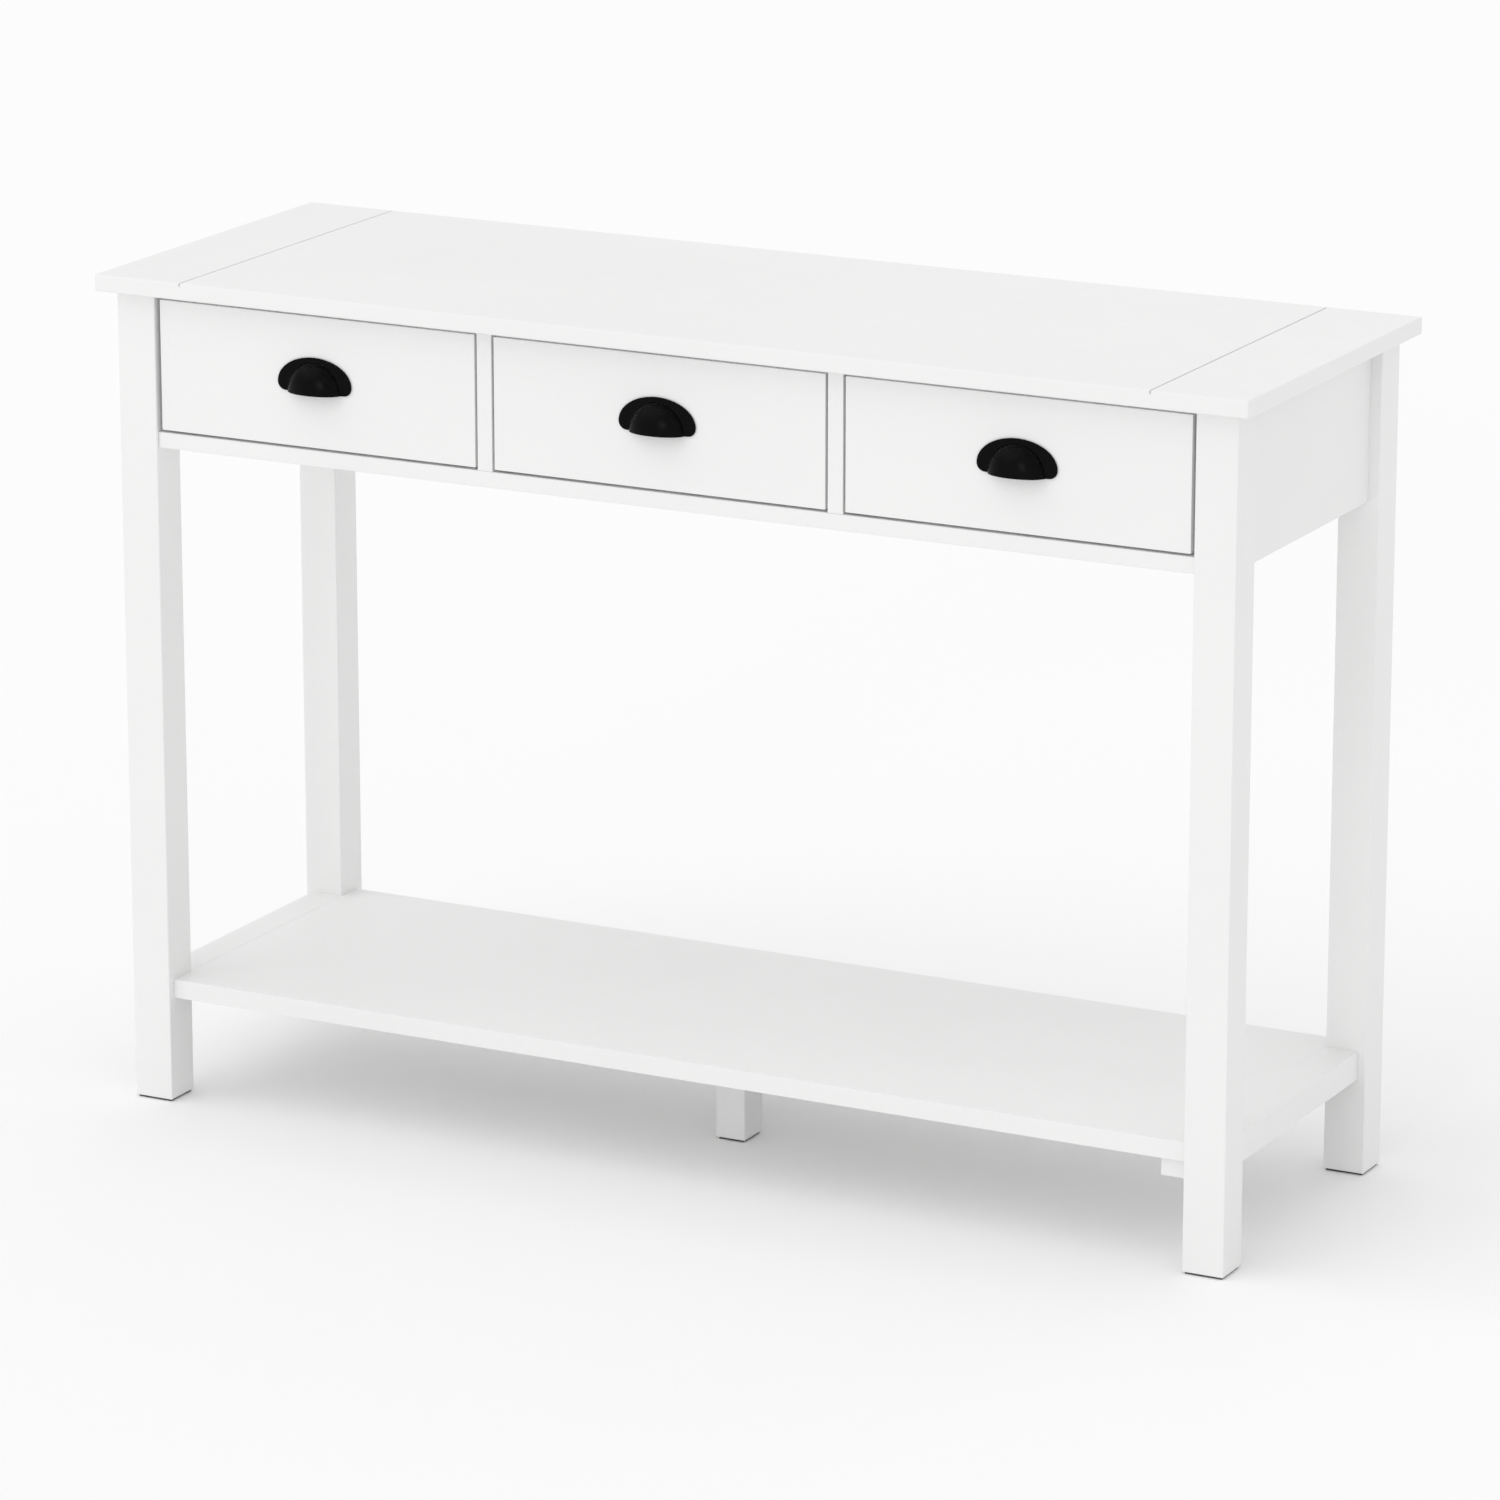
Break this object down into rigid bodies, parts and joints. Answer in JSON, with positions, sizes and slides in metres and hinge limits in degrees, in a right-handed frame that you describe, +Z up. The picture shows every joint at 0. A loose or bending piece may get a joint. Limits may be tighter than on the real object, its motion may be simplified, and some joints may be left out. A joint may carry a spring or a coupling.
{
  "type": "console table",
  "caption": "White console table with a grooved top on square legs, inset drawers with black cup pulls on roller runners, and a low shelf with a centre foot.",
  "frame": {"origin": "on the floor, under the middle of the table's box", "axes": "+Z up, X along the table's length, -Y out of the drawer fronts"},
  "size_m": [1.16, 0.39, 0.8],
  "materials": {
    "white_paint": "satin white lacquer on board, edges slightly eased",
    "white_foil": "matt white foil on board",
    "hardboard": "white-faced hardboard",
    "black_metal": "satin black powder coat",
    "white_steel": "white epoxy-coated sheet steel",
    "zinc_steel": "zinc plated",
    "floor_pad": "dark matt pad"
  },
  "bodies": {
    "frame": {"top_panel": "white_paint", "leg_front_left": "white_paint", "leg_front_right": "white_paint", "leg_rear_left": "white_paint", "leg_rear_right": "white_paint", "floor_pad_front_left": "floor_pad", "floor_pad_front_right": "floor_pad", "floor_pad_rear_left": "floor_pad", "floor_pad_rear_right": "floor_pad", "floor_pad_centre": "floor_pad", "apron_left": "white_paint", "apron_right": "white_paint", "apron_rear": "white_paint", "front_rail": "white_paint", "top_stretcher": "white_foil", "divider_left": "white_paint", "divider_right": "white_paint", "runner_batten_left": "white_foil", "runner_batten_right": "white_foil", "top_bracket_left": "zinc_steel", "top_bracket_right": "zinc_steel", "top_bracket_rear_left": "zinc_steel", "top_bracket_rear_right": "zinc_steel", "shelf": "white_paint", "low_rail_left": "white_paint", "low_rail_right": "white_paint", "shelf_cleat_left": "white_paint", "shelf_cleat_right": "white_paint", "centre_foot": "white_paint", "cabinet_runner_left_left": "white_steel", "cabinet_runner_left_right": "white_steel", "cabinet_runner_middle_left": "white_steel", "cabinet_runner_middle_right": "white_steel", "cabinet_runner_right_left": "white_steel", "cabinet_runner_right_right": "white_steel"},
    "drawer_left": {"drawer_front_left": "white_paint", "drawer_side_left_left": "white_foil", "drawer_side_left_right": "white_foil", "drawer_back_left": "white_foil", "drawer_floor_left": "hardboard", "drawer_runner_left_left": "white_steel", "drawer_runner_left_right": "white_steel", "cup_pull_left": "black_metal"},
    "drawer_middle": {"drawer_front_middle": "white_paint", "drawer_side_middle_left": "white_foil", "drawer_side_middle_right": "white_foil", "drawer_back_middle": "white_foil", "drawer_floor_middle": "hardboard", "drawer_runner_middle_left": "white_steel", "drawer_runner_middle_right": "white_steel", "cup_pull_middle": "black_metal"},
    "drawer_right": {"drawer_front_right": "white_paint", "drawer_side_right_left": "white_foil", "drawer_side_right_right": "white_foil", "drawer_back_right": "white_foil", "drawer_floor_right": "hardboard", "drawer_runner_right_left": "white_steel", "drawer_runner_right_right": "white_steel", "cup_pull_right": "black_metal"}
  },
  "joints": [
    {"name": "left_drawer_slide", "type": "slide", "parent": "frame", "child": "drawer_left", "axis": [0, -1, 0], "range_m": [0, 0.25]},
    {"name": "middle_drawer_slide", "type": "slide", "parent": "frame", "child": "drawer_middle", "axis": [0, -1, 0], "range_m": [0, 0.25]},
    {"name": "right_drawer_slide", "type": "slide", "parent": "frame", "child": "drawer_right", "axis": [0, -1, 0], "range_m": [0, 0.25]}
  ]
}
